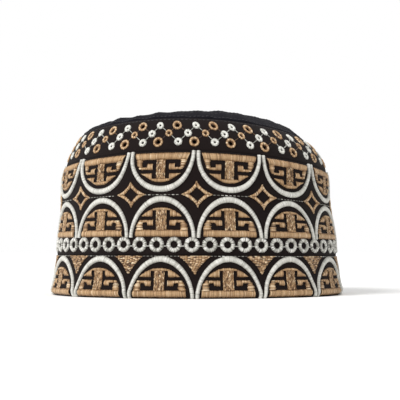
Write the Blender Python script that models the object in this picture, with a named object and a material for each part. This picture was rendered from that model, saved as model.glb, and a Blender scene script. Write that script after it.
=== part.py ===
"""Omani cap (kuma): three cloth bands one above the other and the crown panel that closes them.

Metres, +Z up, front towards -Y. The cap stands by itself on the flat rim of its lower band at z = 0, and it is
hollow and open below. Its plan is an oval, longer from ear to ear (X) than from front to back (Y). The upper edge
is saddle-shaped: it falls a little towards the ears, and a touch more on the +X side, as soft cloth does.
"""

import math
from typing import NamedTuple

import bmesh
import bpy

# Oval plan, measured on the outside at the height of the row of rings.
HALF_LENGTH = 0.0940
HALF_DEPTH = 0.0827

# Heights of the front, from the rim up.
WALL_HEIGHT = 0.1109
LOWER_BAND_HEIGHT = 0.0261
EYELET_BAND_HEIGHT = 0.0211
SIDE_BAND_TOP = WALL_HEIGHT - EYELET_BAND_HEIGHT
CROWN_RISE = 0.0062

# How far the upper edge falls from the front to the ears, how much more it falls at the +X ear than in the middle,
# and how far it has drifted to -X.
SIDE_FALL = 0.0064
LEAN = 0.0019
DRIFT = 0.0024

# Cloth: the lower band is turned up and is the thickest, the crown is a single padded layer.
LOWER_WALL = 0.0024
SIDE_WALL = 0.0021
EYELET_WALL = 0.0018
CROWN_WALL = 0.0018
SEAM_GAP = 0.0003

# Worked ventilation eyelets, three rows of one per repeat round the slope. A repeat starts at the front.
EYELET_REPEATS = 22
LARGE_EYELET_BORE = 0.0028
SMALL_EYELET_BORE = 0.0017
BORE_SIDES = 8
BORE_REACH = 0.004

# On the slope, the cloth climbs this much for each length along it.
SLOPE_CLIMB = 0.90

ROUND_STEPS = 68


class Station(NamedTuple):
    """One level of the wall: height as a share of WALL_HEIGHT, width and depth as shares of the oval's half-lengths,
    and how much of SIDE_FALL, LEAN and DRIFT the cloth has taken at that level."""

    height: float
    width: float
    depth: float
    fall: float
    lean: float
    drift: float


WALL = (
    Station(height=0.000, width=1.0200, depth=0.995, fall=0.00, lean=0.00, drift=0.00),
    Station(height=0.018, width=1.0370, depth=1.000, fall=0.00, lean=0.00, drift=0.00),
    Station(height=0.033, width=1.0400, depth=1.000, fall=0.00, lean=0.00, drift=0.00),
    Station(height=0.056, width=1.0330, depth=0.997, fall=0.00, lean=0.00, drift=0.00),
    Station(height=0.104, width=1.0200, depth=0.993, fall=0.00, lean=0.02, drift=0.00),
    Station(height=0.153, width=1.0145, depth=0.994, fall=0.01, lean=0.06, drift=0.00),
    Station(height=0.198, width=1.0085, depth=0.996, fall=0.02, lean=0.12, drift=0.00),
    Station(height=0.235, width=1.0045, depth=0.998, fall=0.03, lean=0.18, drift=0.00),
    Station(height=0.296, width=1.0000, depth=1.000, fall=0.05, lean=0.26, drift=0.00),
    Station(height=0.348, width=0.9955, depth=1.002, fall=0.08, lean=0.35, drift=0.00),
    Station(height=0.402, width=0.9880, depth=1.004, fall=0.17, lean=0.46, drift=0.02),
    Station(height=0.456, width=0.9800, depth=1.006, fall=0.27, lean=0.58, drift=0.05),
    Station(height=0.509, width=0.9730, depth=1.009, fall=0.38, lean=0.70, drift=0.10),
    Station(height=0.564, width=0.9695, depth=1.013, fall=0.49, lean=0.80, drift=0.24),
    Station(height=0.618, width=0.9660, depth=1.017, fall=0.59, lean=0.86, drift=0.36),
    Station(height=0.672, width=0.9615, depth=1.021, fall=0.69, lean=0.91, drift=0.42),
    Station(height=0.726, width=0.9575, depth=1.025, fall=0.80, lean=0.95, drift=0.36),
    Station(height=0.762, width=0.9520, depth=1.026, fall=0.88, lean=0.97, drift=0.26),
    Station(height=0.787, width=0.9450, depth=1.025, fall=0.93, lean=0.99, drift=0.18),
    Station(height=0.812, width=0.9370, depth=1.022, fall=0.96, lean=1.00, drift=0.12),
    Station(height=0.834, width=0.9300, depth=1.017, fall=0.98, lean=1.00, drift=0.08),
    Station(height=0.860, width=0.9205, depth=1.009, fall=1.00, lean=1.00, drift=0.06),
    Station(height=0.883, width=0.9080, depth=0.999, fall=1.00, lean=1.00, drift=0.08),
    Station(height=0.908, width=0.8910, depth=0.984, fall=1.00, lean=1.00, drift=0.15),
    Station(height=0.930, width=0.8750, depth=0.969, fall=1.00, lean=1.00, drift=0.27),
    Station(height=0.956, width=0.8520, depth=0.946, fall=1.00, lean=1.00, drift=0.46),
    Station(height=0.978, width=0.8290, depth=0.923, fall=1.00, lean=1.00, drift=0.68),
    Station(height=1.000, width=0.8030, depth=0.897, fall=1.00, lean=1.00, drift=0.92),
)


class CrownStation(NamedTuple):
    """One ring of the crown: its width as a share of the seam's, its height as a share of CROWN_RISE, and its fall,
    lean and drift as shares of the cap's."""

    width: float
    rise: float
    fall: float
    lean: float
    drift: float


CROWN = (
    CrownStation(width=1.000, rise=0.05, fall=1.00, lean=1.00, drift=0.92),
    CrownStation(width=0.983, rise=0.28, fall=1.00, lean=1.00, drift=0.95),
    CrownStation(width=0.945, rise=0.58, fall=0.96, lean=0.90, drift=0.90),
    CrownStation(width=0.890, rise=0.84, fall=0.85, lean=0.65, drift=0.55),
    CrownStation(width=0.820, rise=0.98, fall=0.68, lean=0.30, drift=0.10),
    CrownStation(width=0.730, rise=1.03, fall=0.50, lean=0.00, drift=-0.15),
    CrownStation(width=0.600, rise=1.00, fall=0.32, lean=-0.10, drift=-0.20),
    CrownStation(width=0.420, rise=0.90, fall=0.16, lean=-0.05, drift=-0.15),
    CrownStation(width=0.220, rise=0.82, fall=0.05, lean=0.00, drift=-0.10),
    CrownStation(width=0.070, rise=0.79, fall=0.00, lean=0.00, drift=-0.10),
)


class EyeletRow(NamedTuple):
    """Pierced eyelets of one level: the height of their middles as a share of WALL_HEIGHT, the place of the first
    as a share of one repeat, the bore, and how much closer together they are at the front than on the average."""

    height: float
    phase: float
    bore: float
    gather: float


EYELET_ROWS = (
    EyeletRow(height=0.956, phase=0.51, bore=LARGE_EYELET_BORE, gather=-0.030),
    EyeletRow(height=0.910, phase=0.25, bore=SMALL_EYELET_BORE, gather=0.0),
    EyeletRow(height=0.860, phase=0.94, bore=LARGE_EYELET_BORE, gather=0.036),
)

# Levels at which each band gets a ring of corners, as shares of WALL_HEIGHT between its own two edges.
LOWER_LEVELS = (0.018, 0.033, 0.056, 0.104, 0.160)
SIDE_LEVELS = (0.296, 0.402, 0.509, 0.618, 0.726, 0.770)
EYELET_LEVELS = (0.845, 0.883, 0.920, 0.960)


def clear_scene() -> None:
    """Removes every object of the startup scene."""
    for old in list(bpy.data.objects):
        bpy.data.objects.remove(old, do_unlink=True)


def between(low: float, high: float, share: float) -> float:
    """The value at `share` of the way from `low` to `high`."""
    return low + (high - low) * share


def station_at(height: float) -> Station:
    """The wall's station at any height.

    Args:
        height: share of WALL_HEIGHT, 0 to 1.

    Returns:
        The station, read straight between the two rows of WALL that enclose it.
    """
    for lower, upper in zip(WALL, WALL[1:]):
        if height <= upper.height:
            share = (height - lower.height) / (upper.height - lower.height)
            return Station(*(between(a, b, share) for a, b in zip(lower, upper)))
    return WALL[-1]


def inward(height: float) -> tuple[float, float]:
    """The unit direction into the cap at a level of the wall, as (towards the middle, up)."""
    step = 0.008
    low = station_at(max(height - step, 0.0))
    high = station_at(min(height + step, 1.0))
    run = (low.width - high.width) * HALF_LENGTH / 2 + (low.depth - high.depth) * HALF_DEPTH / 2
    rise = (high.height - low.height) * WALL_HEIGHT
    size = math.hypot(run, rise)
    return rise / size, -run / size


def wall_point(height: float, angle: float, depth: float = 0.0, level: bool = False) -> tuple[float, float, float]:
    """A point on the wall or inside its thickness.

    Args:
        height: share of WALL_HEIGHT.
        angle: radians round the oval, 0 at the front and growing towards +X.
        depth: how far in from the outer face.
        level: goes in horizontally, not square to the face, which keeps a rim flat.

    Returns:
        The point in metres.
    """
    station = station_at(height)
    inner, up = (1.0, 0.0) if level else inward(height)
    across = math.sin(angle)
    along = math.cos(angle)
    return (
        (HALF_LENGTH * station.width - depth * inner) * across - DRIFT * station.drift,
        -(HALF_DEPTH * station.depth - depth * inner) * along,
        station.height * WALL_HEIGHT
        + depth * up
        - SIDE_FALL * station.fall * across * across
        - LEAN * station.lean * across,
    )


def crown_point(station: CrownStation, angle: float, depth: float) -> tuple[float, float, float]:
    """A point on the crown, or `depth` below its upper face. Near the seam the way down turns inward."""
    seam = WALL[-1]
    steep = min(1.0, 0.3 + station.rise)
    inset = depth * (1.0 - steep)
    across = math.sin(angle)
    along = math.cos(angle)
    return (
        (HALF_LENGTH * seam.width * station.width - inset) * across - DRIFT * station.drift,
        -(HALF_DEPTH * seam.depth * station.width - inset) * along,
        WALL_HEIGHT
        + CROWN_RISE * station.rise
        - depth * steep
        - SIDE_FALL * station.fall * across * across
        - LEAN * station.lean * across,
    )


def ring(bm: bmesh.types.BMesh, place) -> list[bmesh.types.BMVert]:
    """One ring of corners; `place` turns an angle into a point."""
    turn = 2 * math.pi / ROUND_STEPS
    return [bm.verts.new(place(turn * step)) for step in range(ROUND_STEPS)]


def loft(bm: bmesh.types.BMesh, rings: list[list[bmesh.types.BMVert]], closed: bool) -> None:
    """Faces between each ring and the next, and from the last back to the first when `closed`."""
    pairs = list(zip(rings, rings[1:]))
    if closed:
        pairs.append((rings[-1], rings[0]))
    for first, second in pairs:
        for step in range(ROUND_STEPS):
            after = (step + 1) % ROUND_STEPS
            bm.faces.new((first[step], first[after], second[after], second[step]))


def finish_body(bm: bmesh.types.BMesh, name: str, material: bpy.types.Material) -> bpy.types.Object:
    """Turns a closed mesh into a named object of the cap's collection."""
    bmesh.ops.recalc_face_normals(bm, faces=bm.faces)
    mesh = bpy.data.meshes.new(name)
    bm.to_mesh(mesh)
    bm.free()
    mesh.materials.append(material)
    body = bpy.data.objects.new(name, mesh)
    cap_collection().objects.link(body)
    return body


def collection(name: str, hidden: bool) -> bpy.types.Collection:
    """The collection of this name, made when it isn't there yet."""
    found = bpy.data.collections.get(name)
    if found is None:
        found = bpy.data.collections.new(name)
        found.hide_render = hidden
        bpy.context.scene.collection.children.link(found)
    return found


def cap_collection() -> bpy.types.Collection:
    """Where the cap's own pieces are."""
    return collection("omani_cap", hidden=False)


def cloth(name: str, colour: tuple[float, float, float], roughness: float) -> bpy.types.Material:
    """A plain cloth material."""
    material = bpy.data.materials.new(name)
    material.use_nodes = True
    shader = material.node_tree.nodes["Principled BSDF"]
    shader.inputs["Base Color"].default_value = (*colour, 1.0)
    shader.inputs["Roughness"].default_value = roughness
    shader.inputs["Metallic"].default_value = 0.0
    return material


def embroidered_cloth() -> bpy.types.Material:
    """Lower band: mostly covered by tan and silver thread."""
    return cloth("embroidered_cloth", (0.30, 0.21, 0.12), 0.75)


def arched_cloth() -> bpy.types.Material:
    """Side band: black cotton with arches of tan and silver thread."""
    return cloth("arched_cloth", (0.19, 0.14, 0.09), 0.8)


def eyelet_cloth() -> bpy.types.Material:
    """Eyelet band: black cotton."""
    return cloth("eyelet_cloth", (0.015, 0.013, 0.020), 0.85)


def crown_cloth() -> bpy.types.Material:
    """Crown: plain dark grey cotton."""
    return cloth("crown_cloth", (0.022, 0.019, 0.024), 0.9)


def band(
    name: str,
    material: bpy.types.Material,
    bottom: float,
    top: float,
    levels: tuple[float, ...],
    wall: float,
    flat_rim: bool = False,
) -> bpy.types.Object:
    """A closed strip of cloth round the cap.

    Args:
        name: the object's name.
        material: its finish.
        bottom: height of its lower edge at the front, in metres.
        top: height of its upper edge at the front, in metres.
        levels: levels of the rings between, as shares of WALL_HEIGHT.
        wall: thickness of the cloth.
        flat_rim: the lower edge goes in level, so that it can stand on it.

    Returns:
        The band.
    """
    heights = (bottom / WALL_HEIGHT, *levels, top / WALL_HEIGHT)
    bm = bmesh.new()
    outer = [ring(bm, lambda angle, h=h: wall_point(h, angle)) for h in heights]
    inner = [
        ring(bm, lambda angle, h=h: wall_point(h, angle, wall, level=flat_rim and h == heights[0]))
        for h in reversed(heights)
    ]
    loft(bm, outer + inner, closed=True)
    return finish_body(bm, name, material)


def lower_band() -> bpy.types.Object:
    """The turned-up band that the cap stands on."""
    top = LOWER_BAND_HEIGHT - SEAM_GAP / 2
    return band("lower_band", embroidered_cloth(), 0.0, top, LOWER_LEVELS, LOWER_WALL, flat_rim=True)


def side_band() -> bpy.types.Object:
    """The upright band with two rows of arches and the row of rings."""
    bottom = LOWER_BAND_HEIGHT + SEAM_GAP / 2
    top = SIDE_BAND_TOP - SEAM_GAP / 2
    return band("side_band", arched_cloth(), bottom, top, SIDE_LEVELS, SIDE_WALL)


def angle_at(share: float) -> float:
    """The angle whose arc from the front is `share` of the oval's whole length."""
    steps = 720
    turn = 2 * math.pi / steps
    lengths = [0.0]
    for step in range(steps):
        middle = (step + 0.5) * turn
        size = math.hypot(HALF_LENGTH * math.cos(middle), HALF_DEPTH * math.sin(middle))
        lengths.append(lengths[-1] + size * turn)
    wanted = (share % 1.0) * lengths[-1]
    for step in range(steps):
        if lengths[step + 1] >= wanted:
            part = (wanted - lengths[step]) / (lengths[step + 1] - lengths[step])
            return (step + part) * turn
    return 0.0


def eyelet_cutter() -> bpy.types.Object:
    """Every bore of the eyelet band as one hidden mesh of short prisms, each square to the cloth."""
    bm = bmesh.new()
    for row in EYELET_ROWS:
        for repeat in range(EYELET_REPEATS):
            share = (repeat + row.phase) / EYELET_REPEATS
            angle = angle_at(share - row.gather * math.sin(2 * math.pi * share) / (2 * math.pi))
            bore_prism(bm, row, angle)
    bmesh.ops.recalc_face_normals(bm, faces=bm.faces)
    mesh = bpy.data.meshes.new("eyelet_cutter")
    bm.to_mesh(mesh)
    bm.free()
    cutter = bpy.data.objects.new("eyelet_cutter", mesh)
    cutter.hide_render = True
    cutter.display_type = "WIRE"
    collection("cutters", hidden=True).objects.link(cutter)
    return cutter


def bore_prism(bm: bmesh.types.BMesh, row: EyeletRow, angle: float) -> None:
    """Adds one bore to `bm`: two small rings round the wall's normal, and the sides and ends between them."""
    ends = []
    for depth in (-BORE_REACH, BORE_REACH):
        corners = []
        for side in range(BORE_SIDES):
            turn = 2 * math.pi * (side + 0.5) / BORE_SIDES
            height = row.height + row.bore / 2 * math.sin(turn) * SLOPE_CLIMB / WALL_HEIGHT
            swing = angle + row.bore / 2 * math.cos(turn) / (HALF_LENGTH * station_at(row.height).width)
            corners.append(bm.verts.new(bore_corner(row.height, height, swing, depth)))
        ends.append(corners)
    for side in range(BORE_SIDES):
        after = (side + 1) % BORE_SIDES
        bm.faces.new((ends[0][side], ends[0][after], ends[1][after], ends[1][side]))
    bm.faces.new(ends[0])
    bm.faces.new(ends[1])


def bore_corner(middle: float, height: float, angle: float, depth: float) -> tuple[float, float, float]:
    """A corner of a bore: on the outer face at `height`, then moved along the normal at the bore's middle."""
    x, y, z = wall_point(height, angle)
    inner, up = inward(middle)
    return x - depth * inner * math.sin(angle), y + depth * inner * math.cos(angle), z + depth * up


def eyelet_band() -> bpy.types.Object:
    """The sloping band, pierced by its worked eyelets."""
    bottom = SIDE_BAND_TOP + SEAM_GAP / 2
    top = WALL_HEIGHT - SEAM_GAP / 2
    body = band("eyelet_band", eyelet_cloth(), bottom, top, EYELET_LEVELS, EYELET_WALL)
    cut = body.modifiers.new("eyelets", "BOOLEAN")
    cut.operation = "DIFFERENCE"
    cut.solver = "EXACT"
    cut.object = eyelet_cutter()
    return body


def crown_panel() -> bpy.types.Object:
    """The soft panel over the top, with its puffed edge sewn to the eyelet band."""
    bm = bmesh.new()
    upper = [ring(bm, lambda angle, s=s: crown_point(s, angle, 0.0)) for s in reversed(CROWN)]
    under = [ring(bm, lambda angle, s=s: crown_point(s, angle, CROWN_WALL)) for s in CROWN]
    loft(bm, upper + under, closed=False)
    lids = [bm.faces.new(upper[0]), bm.faces.new(under[-1])]
    bmesh.ops.poke(bm, faces=lids)
    return finish_body(bm, "crown_panel", crown_cloth())


def main() -> None:
    """Builds the cap from the rim up."""
    clear_scene()
    lower_band()
    side_band()
    eyelet_band()
    crown_panel()


main()
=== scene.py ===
"""Omani cap (kuma): black cotton bands and crown, worked all over in rayon thread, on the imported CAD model.

Everything is first laid out in a flat chart of the cap, in millimetres, and then wrapped onto its outer face.
A chart point is (along, up, lift): along runs round the cap from the middle of the front towards +X, up is
the height that the point has at the front (past the crown's seam it runs on towards the middle of the crown),
and lift stands square off the cloth.
"""

import logging
import math
from collections.abc import Sequence
from dataclasses import dataclass, field
from enum import Enum
from typing import Any

import bmesh
import bpy
import numpy as np
from mathutils import Euler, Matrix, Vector


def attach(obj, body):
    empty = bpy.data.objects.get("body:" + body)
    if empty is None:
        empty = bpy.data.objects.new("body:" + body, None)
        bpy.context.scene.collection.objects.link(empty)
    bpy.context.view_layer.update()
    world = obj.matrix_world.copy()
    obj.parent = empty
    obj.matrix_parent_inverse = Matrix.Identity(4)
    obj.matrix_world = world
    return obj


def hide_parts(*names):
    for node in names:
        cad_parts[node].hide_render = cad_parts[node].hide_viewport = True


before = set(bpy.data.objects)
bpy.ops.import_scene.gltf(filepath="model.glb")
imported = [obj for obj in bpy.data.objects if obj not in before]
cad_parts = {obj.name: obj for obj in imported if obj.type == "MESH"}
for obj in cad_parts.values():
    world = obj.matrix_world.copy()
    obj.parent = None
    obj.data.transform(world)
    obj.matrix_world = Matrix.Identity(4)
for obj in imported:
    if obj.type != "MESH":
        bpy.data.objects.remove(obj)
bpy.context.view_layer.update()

LOG = logging.getLogger("omani_cap")
MM = 0.001
BODY = "root"

Pair = tuple[float, float]
Rung = tuple[Pair, Pair]


class Node(Enum):
    """The CAD nodes of the cap, which are also the names of the record's material slots."""

    LOWER = "lower_band"
    SIDE = "side_band"
    EYELET = "eyelet_band"
    CROWN = "crown_panel"


# The cap's form


def smooth_rows(knots: np.ndarray, rows: np.ndarray, at: np.ndarray) -> np.ndarray:
    """Reads a table between its rows with a cubic that never overshoots.

    Args:
        knots: the rows' places, growing.
        rows: one row of values for each knot.
        at: places to read.

    Returns:
        One row of values for each place in `at`.
    """
    at = np.clip(at, knots[0], knots[-1])
    step = np.diff(knots)[:, None]
    slope = np.diff(rows, axis=0) / step
    product = slope[:-1] * slope[1:]
    total = slope[:-1] + slope[1:]
    inner = np.where(product > 0, 2 * product / np.where(product > 0, total, 1.0), 0.0)
    tangent = np.vstack([slope[:1], inner, slope[-1:]])
    index = np.clip(np.searchsorted(knots, at, side="right") - 1, 0, len(knots) - 2)
    width = step[index]
    t = (at - knots[index])[:, None] / width
    near = rows[index] * (1 + 2 * t) * (1 - t) ** 2 + tangent[index] * width * t * (1 - t) ** 2
    far = rows[index + 1] * t * t * (3 - 2 * t) + tangent[index + 1] * width * t * t * (t - 1)
    return near + far


@dataclass(frozen=True)
class CapForm:
    """The outer face of the cap, the same as the CAD's but smooth between its rows.

    `wall` has height, width, depth, fall, lean and drift, and `crown` has width, rise, fall, lean and drift,
    all as shares of the sizes above them.
    """

    half_length: float = 94.0
    half_depth: float = 82.7
    wall_height: float = 110.9
    crown_rise: float = 6.2
    side_fall: float = 6.4
    lean: float = 1.9
    drift: float = 2.4
    crown_reach: float = 75.0
    wall: tuple[tuple[float, ...], ...] = (
        (0.000, 1.0200, 0.995, 0.00, 0.00, 0.00),
        (0.018, 1.0370, 1.000, 0.00, 0.00, 0.00),
        (0.033, 1.0400, 1.000, 0.00, 0.00, 0.00),
        (0.056, 1.0330, 0.997, 0.00, 0.00, 0.00),
        (0.104, 1.0200, 0.993, 0.00, 0.02, 0.00),
        (0.153, 1.0145, 0.994, 0.01, 0.06, 0.00),
        (0.198, 1.0085, 0.996, 0.02, 0.12, 0.00),
        (0.235, 1.0045, 0.998, 0.03, 0.18, 0.00),
        (0.296, 1.0000, 1.000, 0.05, 0.26, 0.00),
        (0.348, 0.9955, 1.002, 0.08, 0.35, 0.00),
        (0.402, 0.9880, 1.004, 0.17, 0.46, 0.02),
        (0.456, 0.9800, 1.006, 0.27, 0.58, 0.05),
        (0.509, 0.9730, 1.009, 0.38, 0.70, 0.10),
        (0.564, 0.9695, 1.013, 0.49, 0.80, 0.24),
        (0.618, 0.9660, 1.017, 0.59, 0.86, 0.36),
        (0.672, 0.9615, 1.021, 0.69, 0.91, 0.42),
        (0.726, 0.9575, 1.025, 0.80, 0.95, 0.36),
        (0.762, 0.9520, 1.026, 0.88, 0.97, 0.26),
        (0.787, 0.9450, 1.025, 0.93, 0.99, 0.18),
        (0.812, 0.9370, 1.022, 0.96, 1.00, 0.12),
        (0.834, 0.9300, 1.017, 0.98, 1.00, 0.08),
        (0.860, 0.9205, 1.009, 1.00, 1.00, 0.06),
        (0.883, 0.9080, 0.999, 1.00, 1.00, 0.08),
        (0.908, 0.8910, 0.984, 1.00, 1.00, 0.15),
        (0.930, 0.8750, 0.969, 1.00, 1.00, 0.27),
        (0.956, 0.8520, 0.946, 1.00, 1.00, 0.46),
        (0.978, 0.8290, 0.923, 1.00, 1.00, 0.68),
        (1.000, 0.8030, 0.897, 1.00, 1.00, 0.92),
    )
    crown: tuple[tuple[float, ...], ...] = (
        (0.000, 0.79, 0.00, 0.00, -0.10),
        (0.070, 0.79, 0.00, 0.00, -0.10),
        (0.220, 0.82, 0.05, 0.00, -0.10),
        (0.420, 0.90, 0.16, -0.05, -0.15),
        (0.600, 1.00, 0.32, -0.10, -0.20),
        (0.730, 1.03, 0.50, 0.00, -0.15),
        (0.820, 0.98, 0.68, 0.30, 0.10),
        (0.890, 0.84, 0.85, 0.65, 0.55),
        (0.945, 0.58, 0.96, 0.90, 0.90),
        (0.983, 0.28, 1.00, 1.00, 0.95),
        (1.000, 0.05, 1.00, 1.00, 0.92),
    )
    arc: np.ndarray = field(init=False, repr=False, compare=False, default=None)
    turn: np.ndarray = field(init=False, repr=False, compare=False, default=None)

    def __post_init__(self) -> None:
        """Measures the oval once, so that a length along it can be turned into an angle."""
        turn = np.linspace(0.0, 2 * math.pi, 1441)
        middle = (turn[1:] + turn[:-1]) / 2
        size = np.hypot(self.half_length * np.cos(middle), self.half_depth * np.sin(middle))
        object.__setattr__(self, "turn", turn)
        object.__setattr__(self, "arc", np.concatenate([[0.0], np.cumsum(size * np.diff(turn))]))

    @property
    def girth(self) -> float:
        """Length of the oval in millimetres: the chart's width."""
        return float(self.arc[-1])

    def face(self, along: np.ndarray, up: np.ndarray) -> np.ndarray:
        """Points on the outer face.

        Args:
            along: chart millimetres round the cap.
            up: chart millimetres up the front, then over the crown.

        Returns:
            An (n, 3) array in millimetres.
        """
        angle = np.interp(np.mod(along, self.girth), self.arc, self.turn)
        across, ahead = np.sin(angle), np.cos(angle)
        wall = np.array(self.wall)
        crown = np.array(self.crown)
        height = np.clip(up / self.wall_height, 0.0, 1.0)
        side = smooth_rows(wall[:, 0], wall[:, 1:], height)
        reach = np.clip(1.0 - (up - self.wall_height) / self.crown_reach, 0.0, 1.0)
        top = smooth_rows(crown[:, 0], crown[:, 1:], reach)
        over = up > self.wall_height
        width = np.where(over, reach * wall[-1, 1], side[:, 0])
        depth = np.where(over, reach * wall[-1, 2], side[:, 1])
        fall, lean, drift = (np.where(over, top[:, i + 1], side[:, i + 2]) for i in range(3))
        rise = np.where(over, self.crown_rise * (top[:, 0] - 0.05), 0.0)
        return np.stack(
            [
                self.half_length * width * across - self.drift * drift,
                -self.half_depth * depth * ahead,
                height * self.wall_height + rise
                - self.side_fall * fall * across**2 - self.lean * lean * across,
            ],
            axis=1,
        )

    def place(self, chart: np.ndarray) -> np.ndarray:
        """Wraps chart points onto the cap.

        Args:
            chart: an (n, 3) array of along, up and lift.

        Returns:
            An (n, 3) array in metres.
        """
        along, up, lift = chart.T
        tiny = 0.05
        east = self.face(along + tiny, up) - self.face(along - tiny, up)
        rise = self.face(along, up + tiny) - self.face(along, up - tiny)
        normal = np.cross(east, rise)
        normal /= np.maximum(np.linalg.norm(normal, axis=1, keepdims=True), 1e-12)
        return (self.face(along, up) + normal * lift[:, None]) * MM

    def stretch(self, up: float) -> Pair:
        """How many real millimetres one chart millimetre is at the front, (along, up)."""
        points = self.face(np.array([-0.5, 0.5, 0.0, 0.0]), np.array([up, up, up - 0.5, up + 0.5]))
        return float(np.linalg.norm(points[1] - points[0])), float(np.linalg.norm(points[3] - points[2]))


# Finishes


def linear(colour: str) -> tuple[float, float, float, float]:
    """Turns an sRGB hex colour such as "c39a68" into linear RGBA."""
    parts = [int(colour[i : i + 2], 16) / 255 for i in (0, 2, 4)]
    return (*(p / 12.92 if p <= 0.04045 else ((p + 0.055) / 1.055) ** 2.4 for p in parts), 1.0)


def add_node(
    tree: bpy.types.NodeTree, kind: str, inputs: dict[Any, Any] | None = None, **settings: Any
) -> bpy.types.Node:
    """Adds a shader node.

    Args:
        tree: where it goes.
        kind: its type, without "ShaderNode".
        inputs: a value, or another node's output socket, for each input by name or number.
        **settings: its properties.

    Returns:
        The node.
    """
    node = tree.nodes.new(f"ShaderNode{kind}")
    for name, value in settings.items():
        setattr(node, name, value)
    for key, value in (inputs or {}).items():
        if isinstance(value, bpy.types.NodeSocket):
            tree.links.new(value, node.inputs[key])
        else:
            node.inputs[key].default_value = value
    return node


def ramp(
    tree: bpy.types.NodeTree, source: bpy.types.NodeSocket, stops: Sequence[tuple[float, str]]
) -> bpy.types.NodeSocket:
    """A colour ramp with hex colours.

    Args:
        tree: where it goes.
        source: what drives it.
        stops: place and hex colour of each stop.

    Returns:
        Its colour output.
    """
    node = add_node(tree, "ValToRGB", {0: source})
    stripes = node.color_ramp.elements
    while len(stripes) < len(stops):
        stripes.new(0.5)
    for stripe, (place, colour) in zip(stripes, stops):
        stripe.position = place
        stripe.color = linear(colour)
    return node.outputs["Color"]


def new_material(name: str) -> tuple[bpy.types.Material, bpy.types.NodeTree, bpy.types.Node]:
    """Makes a material with only its Principled shader and output.

    Args:
        name: its name.

    Returns:
        The material, its node tree and its shader.
    """
    material = bpy.data.materials.new(name)
    material.use_nodes = True
    tree = material.node_tree
    return material, tree, tree.nodes["Principled BSDF"]


@dataclass(frozen=True)
class RayonThread:
    """Viscose rayon embroidery thread, 40 weight: two plies lightly twisted, bright and smooth.

    To the eye it has a soft silky gloss along each stitch, and a shade of its own from stitch to stitch as
    the twist turns. Its feet are painted darker, as painted shade where it goes into the cloth.
    """

    name: str
    deep: str
    low: str
    mid: str
    high: str
    roughness: float = 0.4
    sheen: float = 0.05
    # A real ply twists every 0.4 mm; it is drawn every 0.9 mm, so that it shows.
    twist_mm: float = 0.9
    twist_deg: float = 35.0
    ply_depth_mm: float = 0.08
    flecks_per_mm: float = 1.3
    fleck_shade: float = 0.24

    def material(self) -> bpy.types.Material:
        """Builds the material: the tone attribute picks the colour, painted shade at the feet included, and
        the UV map has the twist.

        Returns:
            The material.
        """
        material, tree, shader = new_material(self.name)
        tone = add_node(tree, "Attribute", attribute_name="tone")
        chart = add_node(tree, "UVMap", uv_map="UVMap")
        spots = {"Vector": chart.outputs[0], "Scale": self.flecks_per_mm, "Detail": 2.0}
        fleck = add_node(tree, "TexNoise", spots)
        lean = {0: fleck.outputs[0], 1: self.fleck_shade, 2: -self.fleck_shade / 2}
        stray = add_node(tree, "Math", lean, operation="MULTIPLY_ADD")
        shade = add_node(tree, "Math", {0: tone.outputs["Fac"], 1: stray.outputs[0]}, operation="ADD")
        stops = ((0.0, self.deep), (0.3, self.low), (0.62, self.mid), (1.0, self.high))
        colour = ramp(tree, shade.outputs[0], stops)
        tree.links.new(colour, shader.inputs["Base Color"])
        turn = (0.0, 0.0, math.radians(self.twist_deg))
        turned = add_node(tree, "Mapping", {"Vector": chart.outputs[0], "Rotation": turn})
        twist = {"Vector": turned.outputs[0], "Scale": 1.0 / self.twist_mm, "Distortion": 0.6}
        ply = add_node(tree, "TexWave", twist)
        depth = {"Height": ply.outputs["Fac"], "Strength": 0.25, "Distance": self.ply_depth_mm * MM}
        bump = add_node(tree, "Bump", depth)
        tree.links.new(bump.outputs[0], shader.inputs["Normal"])
        shader.inputs["Roughness"].default_value = self.roughness
        shader.inputs["Sheen Weight"].default_value = self.sheen
        shader.inputs["Sheen Roughness"].default_value = 0.4
        return material


@dataclass(frozen=True)
class CottonCloth:
    """Dyed cotton sheeting in plain weave, starched for a cap.

    To the eye it is nearly black and quite matt, with a fine even grain, a little pale lint, and a faint
    bloom where it turns away.
    """

    name: str
    ground: str
    faded: str
    # Real sheeting has a thread every 0.3 mm; it is drawn every 0.7 mm, so that its grain shows.
    weave_mm: float = 0.7
    nap_mm: float = 0.12
    wear_per_mm: float = 0.07
    roughness: float = 0.92
    specular: float = 0.15
    sheen: float = 0.03

    def material(self) -> bpy.types.Material:
        """Builds the material on the UV map, which is in millimetres of cloth.

        Returns:
            The material.
        """
        material, tree, shader = new_material(self.name)
        chart = add_node(tree, "UVMap", uv_map="UVMap")
        scale = 1.0 / self.weave_mm * 0.5
        threads = {"Vector": chart.outputs[0], "Scale": scale, "Distortion": 1.2, "Detail": 2.0}
        warp, weft = (add_node(tree, "TexWave", threads, bands_direction=way).outputs["Fac"] for way in "XY")
        grain = add_node(tree, "Math", {0: warp, 1: weft}, operation="MULTIPLY")
        patches = {"Vector": chart.outputs[0], "Scale": self.wear_per_mm, "Detail": 4.0}
        wear = add_node(tree, "TexNoise", patches)
        shade = add_node(tree, "Math", {0: grain.outputs[0], 1: wear.outputs[0]}, operation="MULTIPLY")
        colour = ramp(tree, shade.outputs[0], ((0.05, self.ground), (0.6, self.faded)))
        tree.links.new(colour, shader.inputs["Base Color"])
        nap = {"Height": grain.outputs[0], "Strength": 0.5, "Distance": self.nap_mm * MM}
        bump = add_node(tree, "Bump", nap)
        tree.links.new(bump.outputs[0], shader.inputs["Normal"])
        shader.inputs["Roughness"].default_value = self.roughness
        shader.inputs["Specular IOR Level"].default_value = self.specular
        shader.inputs["Sheen Weight"].default_value = self.sheen
        shader.inputs["Sheen Roughness"].default_value = 0.6
        return material


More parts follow.
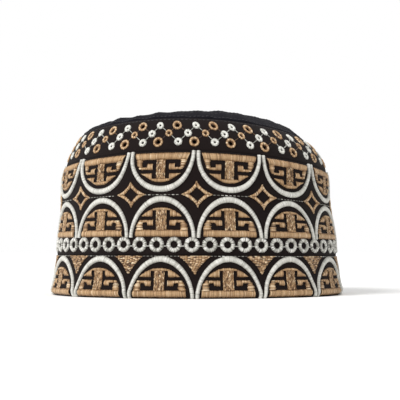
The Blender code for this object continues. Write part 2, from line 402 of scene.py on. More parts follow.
@dataclass(frozen=True)
class MattPaint:
    """Matt white emulsion on the studio floor: pale, even and without gloss, with a faint roller mottle."""

    name: str = "matt_white_paint"
    light: str = "fbfbfa"
    dim: str = "f6f6f5"

    def material(self) -> bpy.types.Material:
        """Builds the material on object coordinates.

        Returns:
            The material.
        """
        material, tree, shader = new_material(self.name)
        place = add_node(tree, "TexCoord")
        mottle = add_node(tree, "TexNoise", {"Vector": place.outputs["Object"], "Scale": 3.0})
        colour = ramp(tree, mottle.outputs[0], ((0.3, self.dim), (0.7, self.light)))
        tree.links.new(colour, shader.inputs["Base Color"])
        shader.inputs["Roughness"].default_value = 0.9
        return material


# Meshes


def finish_mesh(name: str, bm: bmesh.types.BMesh, material: bpy.types.Material) -> bpy.types.Object:
    """Turns a bmesh into a smooth-shaded object at the origin.

    Args:
        name: the object's name.
        bm: its mesh, which is freed.
        material: its one material.

    Returns:
        The object, in the scene.
    """
    mesh = bpy.data.meshes.new(name)
    bm.to_mesh(mesh)
    bm.free()
    mesh.materials.append(material)
    mesh.polygons.foreach_set("use_smooth", np.ones(len(mesh.polygons), bool))
    piece = bpy.data.objects.new(name, mesh)
    bpy.context.scene.collection.objects.link(piece)
    return piece


def hand_over(piece: bpy.types.Object) -> bpy.types.Object:
    """Makes a piece ride on the cap, and reports it.

    Args:
        piece: the finished piece.

    Returns:
        The same piece.
    """
    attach(piece, BODY)
    LOG.info("%s: %d faces", piece.name, len(piece.data.polygons))
    return piece


@dataclass(frozen=True)
class Lay:
    """How stitches are laid, in millimetres.

    `pitch` is from one stitch to the next and `thread` its width. `loft` is how far the middle of a stitch
    stands over its feet, which go into the cloth by `first_foot` and `last_foot`. The ends stray by `ragged`.
    A stitch longer than `longest` is broken into a run of them, staggered from row to row. `tone` and
    `spread` are the shade of the thread and how much it varies.
    """

    pitch: float = 0.5
    thread: float = 0.62
    loft: float = 0.35
    first_foot: float = 0.12
    last_foot: float = 0.12
    ragged: float = 0.12
    longest: float = 99.0
    tone: float = 0.55
    spread: float = 0.2


class Work(Enum):
    """The ways in which the parts of the pattern are sewn."""

    SATIN = Lay(pitch=0.46, thread=0.6, loft=0.85, ragged=0.05, tone=0.66, spread=0.15)
    FLAT = Lay(pitch=0.45, thread=0.52, loft=0.62, ragged=0.14, tone=0.58, spread=0.22)
    JAGGED = Lay(pitch=0.46, thread=0.5, loft=0.5, ragged=0.36, tone=0.58, spread=0.5)
    FILL = Lay(pitch=0.44, thread=0.52, loft=0.42, ragged=0.2, longest=1.6, tone=0.5, spread=0.46)
    SPANDREL = Lay(pitch=0.48, thread=0.56, loft=0.3, ragged=0.25, longest=1.8, tone=0.48, spread=0.6)
    STAR = Lay(pitch=0.48, thread=0.5, loft=0.45, ragged=0.12, tone=0.66, spread=0.35)
    RING = Lay(pitch=0.62, thread=0.66, loft=0.7, ragged=0.1, tone=0.62, spread=0.35)
    RING_LINK = Lay(thread=0.5, loft=0.1, tone=0.6)
    DASH = Lay(thread=0.45, loft=0.1, tone=0.32, spread=0.4)
    EYELET = Lay(pitch=0.5, thread=0.66, loft=0.42, first_foot=0.5, ragged=0.05, tone=0.64, spread=0.3)
    # Painted shade: the thread that turns down into a gold eyelet's hole has a dark tone, as shade inside the
    # hole.
    THROAT_PAINTED_SHADE = Lay(pitch=0.5, thread=0.5, loft=0.05, first_foot=0.9, last_foot=0.1, tone=0.2, spread=0.15)
    PALE_LINK = Lay(thread=0.46, loft=0.06, first_foot=0.0, last_foot=0.0, tone=0.25, spread=0.2)
    DIM_LINK = Lay(thread=0.4, loft=0.02, first_foot=0.05, last_foot=0.05, tone=0.05, spread=0.1)
    SEAM = Lay(thread=0.42, loft=0.02, first_foot=0.15, last_foot=0.15, tone=0.45, spread=0.3)


class Embroidery:
    """Stitches gathered in the flat chart, which become one joined mesh."""

    # Millimetres: a shorter stitch is left out; stitches of a run overlap; none comes nearer the rim.
    SHORTEST, OVERLAP, RIM = 0.25, 0.1, 0.12
    # Shares: how far runs are staggered from row to row, half a thread's thickness, how much darker its feet
    # are painted, as shade where they go into the cloth.
    STAGGER, HALF_THICK, FOOT_SHADE = 0.37, 0.34, 0.22
    # Lengths that each stitch is made of.
    SEGMENTS = 3

    def __init__(
        self, form: CapForm, seed: int, gather: float = 0.0, cloth: "ClothPanel | None" = None
    ) -> None:
        """Starts with no stitches.

        Args:
            form: the cap that they are sewn to.
            seed: fixes the stray of the stitches.
            gather: how much closer together the work is at the front than on the average, as a share.
            cloth: the panel whose folds the stitches follow, where it is far from smooth.
        """
        self.form = form
        self.cloth = cloth
        self.gather = gather
        self.chance = np.random.default_rng(seed)
        self.rows: list[tuple[float, ...]] = []

    def stitch(self, start: np.ndarray, end: np.ndarray, lay: Lay) -> None:
        """Lays one stitch.

        Args:
            start: chart point of its first foot.
            end: chart point of its last foot.
            lay: how it lies.
        """
        tone = lay.tone + lay.spread * float(self.chance.normal(0.0, 0.5))
        wide = lay.thread * float(self.chance.uniform(0.92, 1.08))
        loft = lay.loft * float(self.chance.uniform(0.9, 1.1))
        self.rows.append((*start, *end, wide, loft, lay.first_foot, lay.last_foot, tone))

    def line(self, start: np.ndarray, end: np.ndarray, lay: Lay, row: int) -> None:
        """Lays one stitch, or a staggered run of them where it would be longer than the lay allows.

        Args:
            start: chart point where the line starts.
            end: chart point where it ends.
            lay: how its stitches lie.
            row: the line's number, which staggers it.
        """
        length = float(np.linalg.norm(end - start))
        if length < self.SHORTEST:
            return
        if length <= lay.longest:
            self.stitch(start, end, lay)
            return
        shift = lay.longest * ((row * self.STAGGER) % 1.0)
        first = shift if shift > 0.5 else shift + lay.longest
        cuts = [0.0, *np.arange(first, length - 0.5, lay.longest), length]
        for low, high in zip(cuts, cuts[1:]):
            low, high = max(low - self.OVERLAP, 0.0) / length, min(high + self.OVERLAP, length) / length
            self.stitch(start + (end - start) * low, start + (end - start) * high, lay)

    def ladder(self, rungs: Sequence[Rung], lay: Lay, at: Pair, scale: Pair = (1.0, 1.0)) -> None:
        """Fills the patch between the two rails of a ladder with stitches that run from rail to rail.

        Args:
            rungs: the patch, as pairs of points in millimetres.
            lay: how the stitches lie.
            at: chart place of its origin.
            scale: what its sizes are multiplied by, negative to mirror it.
        """
        points = np.array(rungs, float) * np.array(scale) + np.array(at)
        middles = points.mean(axis=1)
        walk = np.concatenate([[0.0], np.cumsum(np.linalg.norm(np.diff(middles, axis=0), axis=1))])
        count = max(1, round(walk[-1] / lay.pitch))
        spots = (np.arange(count) + 0.5) / count * walk[-1]
        spots += self.chance.uniform(-0.12, 0.12, count) * lay.pitch
        rails = [
            np.stack([np.interp(spots, walk, points[:, side, axis]) for axis in range(2)], axis=1)
            for side in range(2)
        ]
        stray = self.chance.uniform(-lay.ragged, lay.ragged, (2, count))
        for row, (start, end) in enumerate(zip(*rails)):
            way = (end - start) / max(float(np.linalg.norm(end - start)), 1e-6)
            self.line(start + way * stray[0, row], end + way * stray[1, row], lay, row)

    def build(self, name: str, material: bpy.types.Material, node: Node) -> bpy.types.Object:
        """Makes the joined mesh.

        Args:
            name: the piece's name.
            material: the thread.
            node: the CAD node that it is sewn to; not used.

        Returns:
            The piece.
        """
        blank = self.blank()
        bm = bmesh.new()
        for _ in self.rows:
            bm.from_mesh(blank)
        piece = finish_mesh(name, bm, material)
        shape = np.empty(len(blank.vertices) * 3)
        blank.vertices.foreach_get("co", shape)
        shape = shape.reshape(-1, 3)
        bpy.data.meshes.remove(blank)
        chart, maps, tones_and_painted_shade = self.spread_out(shape)
        mesh = piece.data
        spots = self.form.place(chart)
        # The cap stands on its rim, so no thread reaches under it.
        spots[:, 2] = np.maximum(spots[:, 2], 0.0)
        mesh.vertices.foreach_set("co", spots.ravel())
        corner = np.empty(len(mesh.loops), np.int32)
        mesh.loops.foreach_get("vertex_index", corner)
        mesh.uv_layers.new(name="UVMap").data.foreach_set("uv", maps[corner].ravel())
        # The tone attribute holds each stitch's own shade, and painted shade at its feet.
        mesh.attributes.new("tone", "FLOAT", "POINT").data.foreach_set("value", tones_and_painted_shade)
        mesh.update()
        return hand_over(piece)

    def blank(self) -> bpy.types.Mesh:
        """Makes one straight stitch from x 0 to 1, with y from -1 to 1 across and z 1 at its crest.

        Returns:
            Its mesh, which is narrower at the crest than at the cloth.
        """
        bm = bmesh.new()
        bmesh.ops.create_cube(bm, size=1.0)
        long_edges = [e for e in bm.edges if abs(e.verts[0].co.x - e.verts[1].co.x) > 0.5]
        bmesh.ops.subdivide_edges(bm, edges=long_edges, cuts=self.SEGMENTS - 1, use_grid_fill=True)
        for v in bm.verts:
            crest = v.co.z > 0
            v.co = (v.co.x + 0.5, v.co.y * (1.1 if crest else 2.0), 1.0 if crest else -0.6)
        mesh = bpy.data.meshes.new("stitch_blank")
        bm.to_mesh(mesh)
        bm.free()
        return mesh

    def spread_out(self, shape: np.ndarray) -> tuple[np.ndarray, np.ndarray, np.ndarray]:
        """Places a copy of the blank stitch for each stitch.

        Args:
            shape: the blank's vertices.

        Returns:
            Chart points, UV coordinates in millimetres, and tones with painted shade at the feet, one for
            each vertex.
        """
        rows = np.array(self.rows)
        start, end = rows[:, None, 0:2], rows[:, None, 2:4]
        wide, loft, first, last, tone = (rows[:, i, None] for i in range(4, 9))
        x, y, z = shape.T
        length = np.linalg.norm(end - start, axis=2)
        way = (end - start) / np.maximum(length, 1e-6)[..., None]
        side = np.stack([-way[..., 1], way[..., 0]], axis=2)
        flat = start + (end - start) * x[:, None] + side * (y * wide / 2)[..., None]
        flat[..., 1] = np.maximum(flat[..., 1], self.RIM)
        turn = flat[..., 0] / self.form.girth * 2 * math.pi
        flat[..., 0] -= self.gather * self.form.girth / (2 * math.pi) * np.sin(turn)
        arch = np.clip(1.0 - (2 * x - 1.0) ** 4, 0.0, 1.0) ** 0.8
        foot = first * np.clip(1 - 2 * x, 0, 1) ** 3 + last * np.clip(2 * x - 1, 0, 1) ** 3
        lift = z * wide * self.HALF_THICK + loft * arch - foot
        chart = np.dstack([flat, lift[..., None]]).reshape(-1, 3)
        if self.cloth is not None:
            chart[:, 2] += self.cloth.relief(chart)
        offset = self.chance.uniform(0, 50, len(rows))[:, None]
        maps = np.stack([x * length + offset, (y + 1) * wide / 2 + offset], axis=2).reshape(-1, 2)
        # Painted shade: the feet are darkened where the thread goes into the cloth.
        tones_and_painted_shade = tone - self.FOOT_SHADE * (1 - arch)
        return chart, maps, tones_and_painted_shade.astype(np.float32).ravel()


# The cloth


@dataclass(frozen=True)
class Hole:
    """A round hole in the cloth: chart place, and radius in real millimetres."""

    along: float
    up: float
    radius: float


@dataclass
class ClothPanel:
    """One panel of the cap, a closed sheet of cloth with its thickness inside the outer face.

    Sizes are in millimetres: `low` and `high` are its edges in the chart, `wall` is its thickness and `cell`
    and `cell_up` the size of a mesh face. `cut` is the width and height that it was cut to, and `round_cut`
    says that it was cut as an oval. It is sewn to its `neighbour`, and `worked` names the embroidery on it.
    The cloth is drawn in by `tuck` along a `seam`, and stands off the form by `ripple`, `pleat` and `puff`.
    """

    form: CapForm
    node: Node
    cloth: CottonCloth
    low: float
    high: float
    wall: float
    cell: float
    cell_up: float
    cut: Pair
    neighbour: Node
    worked: tuple[str, ...]
    round_cut: bool = False
    seam: float = 0.7
    tuck: float = 0.35
    ripple: float = 0.12
    pleat: float = 0.0
    puff: float = 0.0
    holes: tuple[Hole, ...] = ()

    def build(self) -> bpy.types.Object:
        """Makes the panel: a grid in the chart, pierced, wrapped, welded and given its thickness.

        Returns:
            The panel, which takes the place of the plain solid.
        """
        form = self.form
        bm = bmesh.new()
        chart = bm.loops.layers.uv.new("UVMap")
        columns = round(form.girth / self.cell)
        rows = round((self.high - self.low) / self.cell_up)
        bmesh.ops.create_grid(bm, x_segments=columns, y_segments=rows, size=0.5, calc_uvs=True)
        for face in bm.faces:
            for loop in face.loops:
                spot = loop.vert.co
                loop[chart].uv = ((spot.x + 0.5) * form.girth, (spot.y + 0.5) * (self.high - self.low))
        for v in bm.verts:
            v.co = (v.co.x * form.girth, self.low + (v.co.y + 0.5) * (self.high - self.low), 0.0)
        self.pierce(bm)
        flat = np.array([v.co for v in bm.verts])
        flat[:, 2] = self.relief(flat)
        for v, spot in zip(bm.verts, form.place(flat)):
            v.co = spot
        bmesh.ops.remove_doubles(bm, verts=bm.verts, dist=1e-6)
        bmesh.ops.solidify(bm, geom=list(bm.faces), thickness=self.wall * MM)
        if self.low == 0.0:
            # The cap stands flat on the fold of its rim.
            for v in bm.verts:
                if v.co.z < 0.6 * MM:
                    v.co.z = 0.0
        piece = finish_mesh(f"{self.node.value}_cloth", bm, self.cloth.material())
        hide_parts(self.node.value)
        return hand_over(piece)

    def declare(self) -> None:
        """Does nothing; the panel keeps its neighbour and the names of its embroidery only as fields."""

    def relief(self, flat: np.ndarray) -> np.ndarray:
        """How far the cloth stands off the form: tucked in at its seams, and gently rippled between them.

        Args:
            flat: an (n, 3) array of chart points, whose lift isn't read.

        Returns:
            The lift of each, in millimetres.
        """
        along, up, _ = flat.T
        turn = (along / self.form.girth * 2 * math.pi + math.pi) % (2 * math.pi) - math.pi
        edge = np.exp(-(((self.high - up) / self.seam) ** 2))
        if self.low > 0.0:
            edge = np.exp(-(((up - self.low) / self.seam) ** 2)) + edge
        # Two slow waves round the cap, of 13 and 29 to the girth, lean as they climb.
        ripple = np.sin(13 * turn + 0.13 * up) * np.sin(0.16 * up + 2 * np.sin(3 * turn))
        ripple = ripple + 0.6 * np.sin(29 * turn + 0.21 * up)
        # The crown is gathered into its seam, and puffed up a little more right of the middle of the front.
        gathers = np.sin(41 * turn + 3 * np.sin(5 * turn)) * np.exp(-(((up - self.low - 4.5) / 4.0) ** 2))
        swell = np.exp(-(((turn - 0.22) / 0.42) ** 2) - (((up - self.low - 13.0) / 11.0) ** 2))
        relief = self.ripple * (ripple - 1.0) + self.pleat * gathers
        return -self.tuck * edge + relief * (1 - np.clip(edge, 0, 1)) + self.puff * swell

    def pierce(self, bm: bmesh.types.BMesh) -> None:
        """Deletes the faces inside each hole and draws the edge that is left out to the hole's circle.

        Args:
            bm: the flat panel, in chart millimetres.
        """
        if not self.holes:
            return
        girth = self.form.girth
        spots = np.array([(h.along, h.up) for h in self.holes])
        reach = np.array([np.array(self.form.stretch(h.up)) for h in self.holes])
        radius = np.array([h.radius for h in self.holes])

        def nearest(points: np.ndarray) -> tuple[np.ndarray, np.ndarray, np.ndarray]:
            """Finds the hole nearest each chart point.

            Args:
                points: an (n, 2) array of along and up.

            Returns:
                For each point the hole's number, how far its middle is, and which way.
            """
            gap = points[:, None, :] - spots
            gap[..., 0] = (gap[..., 0] + girth / 2) % girth - girth / 2
            gap = gap * reach
            size = np.linalg.norm(gap, axis=2)
            best = np.argmin(size / radius, axis=1)
            pick = np.arange(len(points))
            return best, size[pick, best], gap[pick, best]

        faces = list(bm.faces)
        best, size, _ = nearest(np.array([f.calc_center_median().xy for f in faces]))
        inside = [f for f, b, s in zip(faces, best, size) if s < radius[b] * 1.05]
        bmesh.ops.delete(bm, geom=inside, context="FACES")
        rim = [v for v in bm.verts if v.is_boundary and self.low + 0.1 < v.co.y < self.high - 0.1]
        rim = [v for v in rim if abs(abs(v.co.x) - girth / 2) > 0.1]
        best, size, gap = nearest(np.array([v.co.xy for v in rim]))
        for v, b, s, g in zip(rim, best, size, gap):
            move = g * (radius[b] / max(s, 1e-6) - 1.0) / reach[b]
            v.co.x += move[0]
            v.co.y += move[1]


# The pattern

# How finely an arch and a ring are drawn; an odd number puts a rung on an arch's crest.
ARCH_RUNGS, RING_RUNGS = 81, 37


def arch_rungs(half_width: float, height: float, power: float, leg: float, crest: float) -> list[Rung]:
    """The satin band of one arch, from one foot over the top to the other.

    Args:
        half_width: from the middle to the outer edge of a foot.
        height: from the feet to the outer edge of the top.
        power: how square the curve is; 2 is an ellipse.
        leg: the band's width at the feet.
        crest: its width at the top.

    Returns:
        Rungs from the outer edge to the inner one.
    """
    angle = np.linspace(0.0, math.pi, ARCH_RUNGS)
    spot = np.stack(
        [
            half_width * np.sign(np.cos(angle)) * np.abs(np.cos(angle)) ** (2 / power),
            height * np.abs(np.sin(angle)) ** (2 / power),
        ],
        axis=1,
    )
    way = np.gradient(spot, axis=0)
    way[0] = way[1] * (0, 1)
    way[-1] = way[-2] * (0, 1)
    way /= np.linalg.norm(way, axis=1, keepdims=True)
    inward = np.stack([-way[:, 1], way[:, 0]], axis=1)
    width = leg + (crest - leg) * np.sin(angle) ** 2
    inner = spot + inward * width[:, None]
    return [(tuple(a), tuple(b)) for a, b in zip(spot, inner)]


def offset_edge(half_width: float, height: float, power: float, clear: float) -> np.ndarray:
    """Points `clear` outside an arch's outer edge, on its +X side, from the foot up, as an (n, 2) array."""
    rungs = np.array(arch_rungs(half_width, height, power, clear, clear))[: ARCH_RUNGS // 2 + 1]
    return 2 * rungs[:, 0] - rungs[:, 1]


def ring_rungs(inner: float, outer: float) -> list[Rung]:
    """The rungs of a round eyelet, from its hole outwards.

    Args:
        inner: the hole's radius.
        outer: the edge's radius.

    Returns:
        The rungs, once round.
    """
    return [
        ((inner * math.cos(a), inner * math.sin(a)), (outer * math.cos(a), outer * math.sin(a)))
        for a in np.linspace(0.0, 2 * math.pi, RING_RUNGS)
    ]


def uprights(*posts: tuple[float, float, float]) -> tuple[Rung, ...]:
    """Rungs that run up, from the (across, low, high) of each."""
    return tuple(((x, low), (x, high)) for x, low, high in posts)


def levels(*bars: tuple[float, float, float]) -> tuple[Rung, ...]:
    """Rungs that run inwards, from the (up, outer, inner) of each."""
    return tuple(((outer, up), (inner, up)) for up, outer, inner in bars)


@dataclass(frozen=True)
class ArchRow:
    """One row of arches round the cap, each with its key motif. Sizes are in millimetres.

    `foot` is the level of the feet and `base` the level at which the motif starts; a hanging row has both at
    its top. `phase` is where the first pair of feet meets, as a share of one arch. `shift` is how far the
    motif is off the arch's middle, and `gather` how much closer together the row is at the front, as a share.
    `seed` fixes the stray of its stitches.
    """

    name: str
    node: Node
    seed: int
    foot: float
    base: float
    phase: float
    height: float
    power: float
    hanging: bool = False
    half_width: float = 21.1
    leg: float = 2.4
    crest: float = 3.6
    shift: float = 0.0
    gather: float = 0.0


# Levels of the three rows of the eyelet lattice, and how much closer together the outer two are at the front:
# the top is eased and the foot drawn in.
TOP_ROW, MID_ROW, LOW_ROW = 106.0, 100.9, 95.4
ROW_GATHER = {TOP_ROW: -0.030, LOW_ROW: 0.036}


@dataclass
class Pattern:
    """The whole embroidery of the cap: its threads, what is repeated, how often, and where, in millimetres.

    `spandrel_clear` is how far the corners keep from the arches, and `star` is from a star's middle to its
    side and upper points. `ring` is the radius of a ring's hole and of its edge. `dash` is the length of a
    running stitch, and how far it is to the next.
    """

    form: CapForm
    silver: RayonThread = RayonThread("silver_white_rayon_thread", "55534c", "97958c", "d0cec6", "faf8f4")
    white: RayonThread = RayonThread("white_rayon_thread", "6f6e66", "b4b3aa", "dcdbd3", "f4f3ee")
    gold: RayonThread = RayonThread("old_gold_rayon_thread", "3a2413", "84603c", "bd9a70", "eed9b8")
    tonal: RayonThread = RayonThread(
        "charcoal_rayon_thread", "0a090c", "100e13", "18161c", "242128", sheen=0.0
    )
    arches: int = 13
    rings: int = 51
    repeats: int = 22
    spandrel_top: float = 26.0
    spandrel_clear: float = 3.5
    star_up: float = 63.3
    star: Pair = (10.2, 8.5)
    ring_up: float = 32.8
    ring_phase: float = 0.73
    ring: Pair = (2.2, 4.72)
    dash: Pair = (1.7, 2.5)
    lower: ArchRow = ArchRow(
        "lower", Node.LOWER, 11, foot=0.3, base=0.9, phase=-0.029, height=25.6, power=1.9,
        shift=-0.65, gather=0.032,
    )
    middle: ArchRow = ArchRow(
        "middle", Node.SIDE, 13, foot=37.1, base=37.6, phase=-0.01, height=25.3, power=1.95, shift=-0.2
    )
    upper: ArchRow = ArchRow(
        "upper", Node.SIDE, 15, foot=89.8, base=88.5, phase=-0.002, height=25.1, power=2.1,
        hanging=True, gather=-0.028,
    )
    # Key motif of a standing arch, its right half, from its base up.
    standing: tuple[tuple[Work, tuple[Rung, ...]], ...] = (
        (Work.JAGGED, levels((3.9, 16.5, 12.0), (7.2, 16.0, 12.0), (8.8, 14.9, 12.0), (10.0, 14.1, 12.0))),
        (Work.FLAT, uprights((12.1, 8.5, 10.1), (9.2, 8.5, 10.1), (8.6, 6.8, 10.1), (5.2, 6.7, 10.1))),
        (
            Work.FLAT,
            uprights(
                (12.6, 12.3, 12.5), (11.4, 12.2, 13.8), (9.2, 12.2, 15.2), (6.4, 12.2, 16.6),
                (5.6, 12.2, 16.9),
            ),
        ),
        (Work.FLAT, uprights((5.6, 15.9, 16.9), (3.0, 15.9, 17.5), (0.0, 15.9, 17.65))),
        (Work.FLAT, (((16.8, 0.0), (16.4, 4.0)), ((0.0, 0.0), (0.0, 4.0)))),
        (Work.FILL, uprights((3.3, 3.9, 16.1), (0.0, 3.9, 16.1))),
    )
    # Key motif of a hanging arch, its right half, from its flat top down.
    hung: tuple[tuple[Work, tuple[Rung, ...]], ...] = (
        (Work.JAGGED, levels((4.0, 16.1, 12.2), (7.0, 15.4, 12.2), (9.8, 13.8, 12.2))),
        (Work.FLAT, uprights((12.6, 8.7, 10.2), (8.6, 8.7, 10.2))),
        (Work.FLAT, uprights((8.7, 6.6, 10.2), (5.2, 6.6, 10.2))),
        (Work.FLAT, uprights((12.3, 12.5, 12.7), (9.2, 12.5, 14.7), (5.5, 12.5, 16.9))),
        (Work.FLAT, uprights((5.5, 15.6, 16.9), (3.0, 15.6, 17.7), (0.0, 15.6, 17.9))),
        (Work.FLAT, (((17.7, 0.0), (16.1, 4.1)), ((0.0, 0.0), (0.0, 4.1)))),
        (Work.FILL, uprights((2.8, 4.0, 15.8), (0.0, 4.0, 15.8))),
    )

    def arch_row(self, row: ArchRow) -> None:
        """Sews one row of arches and the motifs inside them.

        Args:
            row: the row.
        """
        pitch = self.form.girth / self.arches
        way = -1.0 if row.hanging else 1.0
        bands = Embroidery(self.form, row.seed, row.gather)
        keys = Embroidery(self.form, row.seed + 1, row.gather)
        rungs = arch_rungs(row.half_width, row.height, row.power, row.leg, row.crest)
        shapes = self.hung if row.hanging else self.standing
        for arch in range(self.arches):
            middle = (arch + 0.5 + row.phase) * pitch
            bands.ladder(rungs, Work.SATIN.value, (middle, row.foot), (1.0, way))
            for sewing, half in shapes:
                for side in (1.0, -1.0):
                    keys.ladder(half, sewing.value, (middle + row.shift, row.base), (side, way))
        bands.build(f"{row.name}_arches", self.silver.material(), row.node)
        keys.build(f"{row.name}_motifs", self.gold.material(), row.node)

    def spandrels(self) -> None:
        """Fills the corners between the lower arches, under the seam."""
        row = self.lower
        half = self.form.girth / self.arches / 2
        edge = offset_edge(row.half_width, row.height, row.power, self.spandrel_clear)
        edge = edge[edge[:, 0] - half <= 0.0]
        up = np.linspace(float(edge[0, 1]), self.spandrel_top - row.foot, 30)
        width = half - np.interp(up, edge[:, 1], edge[:, 0])
        work = Embroidery(self.form, 31, row.gather)
        rungs = [((-w, z), (w, z)) for w, z in zip(width, up)]
        for arch in range(self.arches):
            work.ladder(rungs, Work.SPANDREL.value, ((arch + row.phase) * half * 2, row.foot))
        work.build("lower_spandrels", self.gold.material(), Node.LOWER)

    def stars(self) -> None:
        """Sews the four-pointed stars where the middle and upper arches leave room."""
        wide, tall = self.star
        t = np.linspace(0.0, 1.0, 15)
        start, bend, end = np.array([0.0, tall]), np.array([2.3, 2.9]), np.array([wide, 0.0])
        outer = ((1 - t) ** 2)[:, None] * start + (2 * t * (1 - t))[:, None] * bend + (t * t)[:, None] * end
        # The diamond that is left open, 4.9 wide and 4.3 tall from its middle, with the points closed.
        knots = [0.0, 0.30, 0.62, 1.0]
        inner = [np.interp(t, knots, [0.0, 0.0, 4.9, wide]), np.interp(t, knots, [tall, 4.3, 0.0, 0.0])]
        rungs = [(tuple(a), tuple(b)) for a, b in zip(outer, np.stack(inner, axis=1))]
        work = Embroidery(self.form, 41, -0.008)
        pitch = self.form.girth / self.arches
        for arch in range(self.arches):
            middle = ((arch + self.upper.phase + 0.022) * pitch, self.star_up)
            for way in ((1, 1), (-1, 1), (1, -0.97), (-1, -0.97)):
                work.ladder(rungs, Work.STAR.value, middle, way)
        work.build("stars", self.gold.material(), Node.SIDE)

    def ring_row(self) -> None:
        """Sews the row of rings and the thread that joins them, a little under their middles."""
        work = Embroidery(self.form, 51)
        pitch = self.form.girth / self.rings
        reach, link_up = 3.9, 31.9
        for ring in range(self.rings):
            middle = (ring + self.ring_phase) * pitch
            work.ladder(ring_rungs(*self.ring), Work.RING.value, (middle, self.ring_up))
            ends = (np.array([middle + reach, link_up]), np.array([middle + pitch - reach, link_up]))
            work.stitch(*ends, Work.RING_LINK.value)
        work.build("rings", self.silver.material(), Node.SIDE)

    def dashes(self) -> None:
        """Sews the broken lines of running stitch over the middle arches and along the lower band's seam."""
        pitch = self.form.girth / self.arches
        length, every = self.dash
        for name, node, up, clear, row in (
            ("middle_dashes", Node.SIDE, 63.0, 10.6, self.upper),
            ("lower_dashes", Node.LOWER, 25.75, 9.6, self.lower),
        ):
            work = Embroidery(self.form, 61, row.gather)
            for arch in range(self.arches):
                for spot in np.arange(clear, pitch - clear - 1.0, every):
                    start = (arch + row.phase) * pitch + spot
                    work.stitch(np.array([start, up]), np.array([start + length, up]), Work.DASH.value)
            work.build(name, self.silver.material(), node)

    def holes(self) -> tuple[Hole, ...]:
        """The pierced eyelets: the large and small gold ones.

        Returns:
            A hole for each, as its place in the chart and its radius.
        """
        pitch = self.form.girth / self.repeats
        rows = ((0.51, TOP_ROW, 1.75), (0.25, MID_ROW, 1.05), (0.94, LOW_ROW, 1.75))
        return tuple(
            Hole(self.gathered((repeat + phase) * pitch + 1e-9, up), up, size)
            for phase, up, size in rows
            for repeat in range(self.repeats)
        )

    def gathered(self, along: float, up: float) -> float:
        """Where a place on the lattice lies once its row is gathered.

        Args:
            along: chart place before.
            up: level of its row.

        Returns:
            The chart place along.
        """
        gather = ROW_GATHER.get(up, 0.0)
        girth = self.form.girth
        return along - gather * girth / (2 * math.pi) * math.sin(2 * math.pi * along / girth)

    def knot(self, turns: float, up: float) -> np.ndarray:
        """Chart place of an eyelet that lies `turns` repeats from the front."""
        return np.array([self.gathered(turns * self.form.girth / self.repeats, up), up])

    def lattice(self) -> None:
        """Sews the lattice of eyelets, of which the gold ones are pierced, and the threads that join them."""
        # Of each kind: place in the repeat, level, radii of hole and edge, how narrow and tall against round.
        kinds = {
            "white_top": (0.03, TOP_ROW, 0.5, 2.6, 0.88, 1.12),
            "white_mid": (-0.22, MID_ROW, 0.5, 2.6, 0.94, 1.04),
            "white_low": (0.50, LOW_ROW, 0.5, 2.55, 1.0, 1.0),
            "gold_top": (0.51, TOP_ROW, 1.65, 3.2, 0.9, 1.12),
            "gold_low": (-0.06, LOW_ROW, 1.65, 3.2, 0.98, 1.0),
            "gold_mid": (0.255, MID_ROW, 0.95, 2.4, 0.94, 1.04),
        }
        pale, warm = Embroidery(self.form, 71), Embroidery(self.form, 72)
        # The eyelets that each thread joins, and how many repeats on the second one is.
        links = (
            (pale, Work.PALE_LINK, "white_top", "gold_mid", 0),
            (pale, Work.PALE_LINK, "gold_mid", "white_low", 0),
            (pale, Work.PALE_LINK, "white_low", "white_mid", 1),
            (pale, Work.PALE_LINK, "white_mid", "white_top", 0),
            (warm, Work.DIM_LINK, "gold_top", "gold_mid", 0),
            (warm, Work.DIM_LINK, "gold_mid", "gold_low", 0),
            (warm, Work.DIM_LINK, "gold_low", "white_mid", 0),
            (warm, Work.DIM_LINK, "white_mid", "gold_top", -1),
        )
        for repeat in range(self.repeats):
            for name, (phase, up, inner, outer, slim, long) in kinds.items():
                wide, tall = self.form.stretch(up)
                work = pale if name.startswith("white") else warm
                spot, scale = tuple(self.knot(repeat + phase, up)), (slim / wide, long / tall)
                work.ladder(ring_rungs(inner, outer), Work.EYELET.value, spot, scale)
                if work is warm:
                    # The thread that turns down into the hole, painted darker as shade inside the hole.
                    work.ladder(ring_rungs(inner - 0.45, inner + 0.1), Work.THROAT_PAINTED_SHADE.value, spot, scale)
            for work, lay, first, last, step in links:
                ends = ((repeat, *kinds[first][:2]), (repeat + step, *kinds[last][:2]))
                self.join(work, *(self.knot(turns + phase, up) for turns, phase, up in ends), lay.value)
        pale.build("white_eyelets", self.white.material(), Node.EYELET)
        warm.build("gold_eyelets", self.gold.material(), Node.EYELET)

    @staticmethod
    def join(work: Embroidery, start: np.ndarray, end: np.ndarray, lay: Lay) -> None:
        """Lays one thread between the edges of two eyelets, which are 1.9 mm from their middles."""
        way = (end - start) / float(np.linalg.norm(end - start))
        work.stitch(start + way * 1.9, end - way * 1.9, lay)

    def seams(self, panels: Sequence[ClothPanel]) -> None:
        """Sews the tonal running stitches along the crown's seam and round the crown, on its cloth's folds.

        Args:
            panels: the cap's panels.
        """
        cloth = {panel.node: panel for panel in panels}
        girth = self.form.girth
        for name, node, ups, length, gap in (
            ("crown_stitching", Node.CROWN, (112.3, 117.5, 124.5, 133.5, 144.5, 156.5), 2.4, 0.8),
            ("seam_stitching", Node.EYELET, (109.9,), 2.4, 0.9),
        ):
            work = Embroidery(self.form, 81, cloth=cloth[node])
            for up in ups:
                share = 1.0 - max(up - self.form.wall_height, 0.0) / self.form.crown_reach
                count = max(12, round(girth * share / (length + gap)))
                pitch = girth / count
                dash = pitch * length / (length + gap)
                for spot in range(count):
                    ends = (np.array([spot * pitch, up]), np.array([spot * pitch + dash, up]))
                    work.stitch(*ends, Work.SEAM.value)
            work.build(name, self.tonal.material(), node)


# The studio


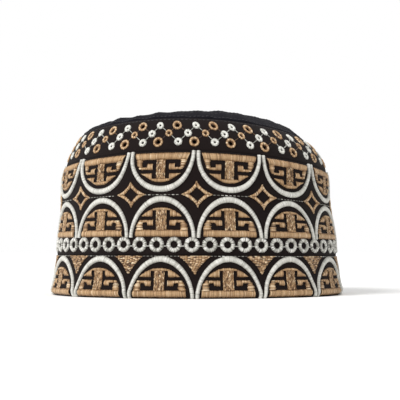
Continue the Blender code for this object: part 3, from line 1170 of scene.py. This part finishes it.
@dataclass(frozen=True)
class Studio:
    """The floor, the soft lights and the camera, which stands at the photograph's angle."""

    distance: float = 0.752
    eye: float = 0.0283
    lens: float = 99.36
    tilt_deg: float = 2.70
    pan_deg: float = 0.166
    sky: float = 0.42

    def camera(self) -> None:
        """Makes the scene's camera."""
        data = bpy.data.cameras.new("camera")
        data.lens = self.lens
        data.sensor_width = 36.0
        data.clip_start, data.clip_end = 0.01, 50.0
        camera = bpy.data.objects.new("camera", data)
        bpy.context.scene.collection.objects.link(camera)
        camera.location = (0.0, -self.distance, self.eye)
        camera.rotation_euler = Euler((math.radians(90 + self.tilt_deg), 0.0, math.radians(-self.pan_deg)))
        bpy.context.scene.camera = camera

    def lights(self) -> None:
        """Makes a broad soft key from the upper left, a softer one from the top and a pale even sky.

        The sky is dimmer than it looks, so that the dark cloth keeps its depth in front of a white backdrop.
        """
        for name, place, angle, power in (
            ("key", (-1.1, -1.0, 1.3), 28.0, 2.65),
            ("top", (0.3, 0.1, 1.9), 60.0, 1.2),
        ):
            data = bpy.data.lights.new(name, "SUN")
            data.angle = math.radians(angle)
            data.energy = power
            lamp = bpy.data.objects.new(name, data)
            bpy.context.scene.collection.objects.link(lamp)
            lamp.location = place
            aim = Vector((0.0, 0.0, 0.06)) - Vector(place)
            lamp.rotation_euler = aim.to_track_quat("-Z", "Y").to_euler()
        world = bpy.data.worlds.new("studio")
        world.use_nodes = True
        tree = world.node_tree
        ray = add_node(tree, "LightPath")
        glow = add_node(tree, "MapRange", {0: ray.outputs["Is Camera Ray"], 3: self.sky, 4: 1.0})
        tree.links.new(glow.outputs[0], tree.nodes["Background"].inputs["Strength"])
        tree.nodes["Background"].inputs["Color"].default_value = (1.0, 1.0, 1.0, 1.0)
        bpy.context.scene.world = world
        bpy.context.scene.view_settings.view_transform = "Standard"

    def floor(self) -> None:
        """Makes the floor, level with the cap's rim."""
        bm = bmesh.new()
        bmesh.ops.create_grid(bm, x_segments=8, y_segments=8, size=20.0)
        bmesh.ops.translate(bm, verts=bm.verts, vec=(0.0, 0.0, -0.05 * MM))
        floor = finish_mesh("floor", bm, MattPaint().material())


def cap_panels(form: CapForm, holes: tuple[Hole, ...]) -> tuple[ClothPanel, ...]:
    """The panels of the cap, from the rim up.

    Args:
        form: the cap's form.
        holes: the pierced eyelets.

    Returns:
        The four panels, not yet built.
    """
    black = CottonCloth("black_cotton_sheeting", "110807", "1e1310")
    charcoal = CottonCloth("charcoal_cotton_sheeting", "0b0911", "17141f")
    lower = ("lower_arches", "lower_motifs", "lower_spandrels", "lower_dashes")
    middle = ("rings", "middle_arches", "middle_motifs", "middle_dashes")
    upper = ("stars", "upper_arches", "upper_motifs")
    eyelets = ("white_eyelets", "gold_eyelets", "seam_stitching")
    # Each with its edges, thickness, mesh cell, cut size, neighbour and the work on it.
    return (
        ClothPanel(
            form, Node.LOWER, black, 0.0, 26.1, 2.3, 2.4, 1.1, (572.0, 26.6), Node.SIDE, lower,
            ripple=0.08,
        ),
        ClothPanel(
            form, Node.SIDE, black, 26.1, 89.8, 2.0, 2.4, 1.6, (556.0, 64.0), Node.LOWER, middle + upper
        ),
        ClothPanel(
            form, Node.EYELET, black, 89.8, 110.9, 1.7, 1.0, 0.9, (536.0, 24.5), Node.SIDE, eyelets,
            tuck=0.2, ripple=0.05, holes=holes,
        ),
        ClothPanel(
            form, Node.CROWN, charcoal, 110.9, 185.9, 1.7, 2.6, 1.8, (155.0, 152.0), Node.EYELET,
            ("crown_stitching",), round_cut=True, tuck=0.2, ripple=0.34, pleat=0.4, puff=1.1,
        ),
    )


def main() -> None:
    """Builds the studio, the cloth and the embroidery, in that order."""
    logging.basicConfig(level=logging.INFO, format="%(name)s: %(message)s")
    studio = Studio()
    studio.camera()
    form = CapForm()
    pattern = Pattern(form)
    panels = cap_panels(form, pattern.holes())
    for panel in panels:
        panel.build()
    for row in (pattern.lower, pattern.middle, pattern.upper):
        pattern.arch_row(row)
    pattern.spandrels()
    pattern.stars()
    pattern.ring_row()
    pattern.dashes()
    pattern.lattice()
    pattern.seams(panels)
    for panel in panels:
        panel.declare()
    studio.floor()
    studio.lights()


if __name__ == "__main__":
    main()
